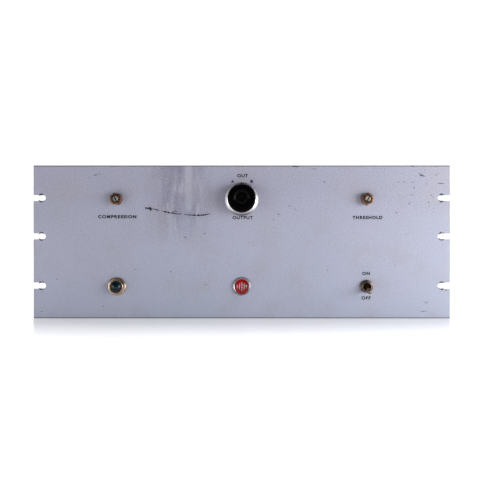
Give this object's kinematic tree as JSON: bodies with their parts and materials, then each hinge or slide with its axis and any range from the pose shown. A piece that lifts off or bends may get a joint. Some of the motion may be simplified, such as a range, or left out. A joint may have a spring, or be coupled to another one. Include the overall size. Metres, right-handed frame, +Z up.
{
  "type": "rack compressor",
  "caption": "Four-unit rack panel with a compressor amplifier's controls, pilot lamp and power toggle, on an open chassis with transformers, tubes and rear connectors.",
  "frame": {"origin": "middle of the front panel's bottom edge, at half the panel's thickness", "axes": "+X to the right seen from the front, +Y from the panel's face towards the rear of the chassis, +Z up"},
  "size_m": [0.4826, 0.2446, 0.177],
  "materials": {
    "panel_paint": "satin silver-grey enamel, worn and stained",
    "chassis_sheet": "zinc-plated sheet, dull",
    "spun_aluminium": "spun, bright",
    "nickel_plate": "nickel plate, tarnished",
    "zinc_steel": "zinc-plated steel",
    "aged_brass": "oxidised brass",
    "badge_silver": "polished silver plate",
    "red_enamel": "glossy fired enamel",
    "black_bakelite": "moulded black phenolic, polished",
    "brown_phenolic": "paper-based laminate",
    "lamination_iron": "varnished laminations",
    "black_enamel": "semi-gloss black enamel",
    "winding_tape": "varnished cloth tape",
    "jewel_glass": "dark blue-green glass",
    "bulb_glass": "clear glass",
    "capacitor_can": "drawn, dull",
    "harness_cloth": "waxed cloth covering"
  },
  "bodies": {
    "frame": {"badge_body": "badge_silver", "badge_enamel": "red_enamel", "bottom_cover": "chassis_sheet", "chassis": "chassis_sheet", "component_board": "brown_phenolic", "compression_bushing": "nickel_plate", "compression_case": "capacitor_can", "compression_harness": "harness_cloth", "compression_mount_nut": "aged_brass", "filter_capacitor_1": "capacitor_can", "filter_capacitor_2": "capacitor_can", "front_panel": "panel_paint", "fuse_holder": "black_bakelite", "input_transformer": "capacitor_can", "lamp_bezel": "nickel_plate", "lamp_bulb": "bulb_glass", "lamp_nut": "nickel_plate", "lamp_socket": "black_bakelite", "left_bracket": "chassis_sheet", "mains_inlet": "black_bakelite", "output_transformer_core": "lamination_iron", "output_transformer_winding": "winding_tape", "power_transformer_core": "lamination_iron", "power_transformer_lower_bell": "black_enamel", "power_transformer_upper_bell": "black_enamel", "right_bracket": "chassis_sheet", "selector_frame": "zinc_steel", "selector_harness": "harness_cloth", "selector_nut": "aged_brass", "selector_rod_left": "zinc_steel", "selector_rod_right": "zinc_steel", "selector_wafer": "brown_phenolic", "terminal_strip": "black_bakelite", "threshold_bushing": "nickel_plate", "threshold_case": "capacitor_can", "threshold_harness": "harness_cloth", "threshold_mount_nut": "aged_brass", "toggle_back_nut": "aged_brass", "toggle_body": "black_bakelite", "toggle_bushing": "aged_brass", "toggle_ring_nut": "aged_brass", "tube_1": "bulb_glass", "tube_2": "bulb_glass", "tube_3": "bulb_glass", "tube_shield_1": "spun_aluminium", "tube_shield_2": "spun_aluminium", "tube_shield_3": "spun_aluminium"},
    "selector": {"selector_knob": "black_bakelite", "selector_set_screw": "zinc_steel", "selector_skirt": "spun_aluminium", "selector_shaft": "zinc_steel", "selector_detent_wheel": "aged_brass", "selector_rotor": "brown_phenolic"},
    "compression_wiper": {"compression_shaft": "nickel_plate"},
    "threshold_wiper": {"threshold_shaft": "nickel_plate"},
    "compression_lock": {"compression_lock_nut": "aged_brass"},
    "threshold_lock": {"threshold_lock_nut": "aged_brass"},
    "power_toggle": {"toggle_lever": "nickel_plate"},
    "jewel": {"lamp_jewel": "jewel_glass"},
    "fuse_carrier": {"fuse_cap": "black_bakelite"}
  },
  "joints": [
    {"name": "selector_turn", "type": "hinge", "parent": "frame", "child": "selector", "pos_m": [0, -0.01, 0.1379], "axis": [0, 1, 0], "range_deg": [-30, 30]},
    {"name": "compression_turn", "type": "hinge", "parent": "frame", "child": "compression_wiper", "pos_m": [-0.1445, -0.01, 0.1379], "axis": [0, 1, 0], "range_deg": [-150, 150]},
    {"name": "threshold_turn", "type": "hinge", "parent": "frame", "child": "threshold_wiper", "pos_m": [0.1445, -0.01, 0.1379], "axis": [0, 1, 0], "range_deg": [-150, 150]},
    {"name": "compression_lock_turn", "type": "hinge", "parent": "frame", "child": "compression_lock", "pos_m": [-0.1445, -0.007, 0.1379], "axis": [0, 1, 0], "range_deg": [-180, 0]},
    {"name": "threshold_lock_turn", "type": "hinge", "parent": "frame", "child": "threshold_lock", "pos_m": [0.1445, -0.007, 0.1379], "axis": [0, 1, 0], "range_deg": [-180, 0]},
    {"name": "toggle_throw", "type": "hinge", "parent": "frame", "child": "power_toggle", "pos_m": [0.1445, -0.001, 0.0369], "axis": [-1, 0, 0], "range_deg": [0, 30]},
    {"name": "jewel_turn", "type": "hinge", "parent": "frame", "child": "jewel", "pos_m": [-0.1445, -0.005, 0.0369], "axis": [0, 1, 0], "range_deg": [-180, 0]},
    {"name": "fuse_cap_turn", "type": "hinge", "parent": "frame", "child": "fuse_carrier", "pos_m": [0.06, 0.2051, 0.034], "axis": [0, 1, 0], "range_deg": [0, 60]}
  ]
}
